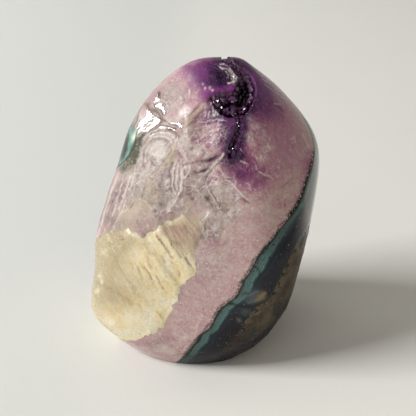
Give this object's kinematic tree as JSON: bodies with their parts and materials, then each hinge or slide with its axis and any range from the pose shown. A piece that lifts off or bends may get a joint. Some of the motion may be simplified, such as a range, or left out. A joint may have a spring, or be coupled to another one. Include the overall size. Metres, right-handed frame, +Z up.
{
  "type": "amethyst freeform with calcite",
  "caption": "Freestanding polished amethyst freeform with a calcite crystal, a crystal-lined cleft at the crown and banded geode rind, on a flat sawn base.",
  "frame": {"origin": "on the flat sawn base, under the middle of the crown", "axes": "+Z up along the height, -Y towards the polished front with the calcite, +X to the viewer's right"},
  "size_m": [0.0884, 0.0681, 0.1081],
  "materials": {
    "amethyst": "polished",
    "calcite": "satin",
    "crystal_crust": "gloss",
    "geode_rind": "gloss"
  },
  "bodies": {
    "root": {"amethyst": "amethyst", "calcite": "calcite", "crystal_crust": "crystal_crust", "geode_rind": "geode_rind"}
  },
  "joints": []
}
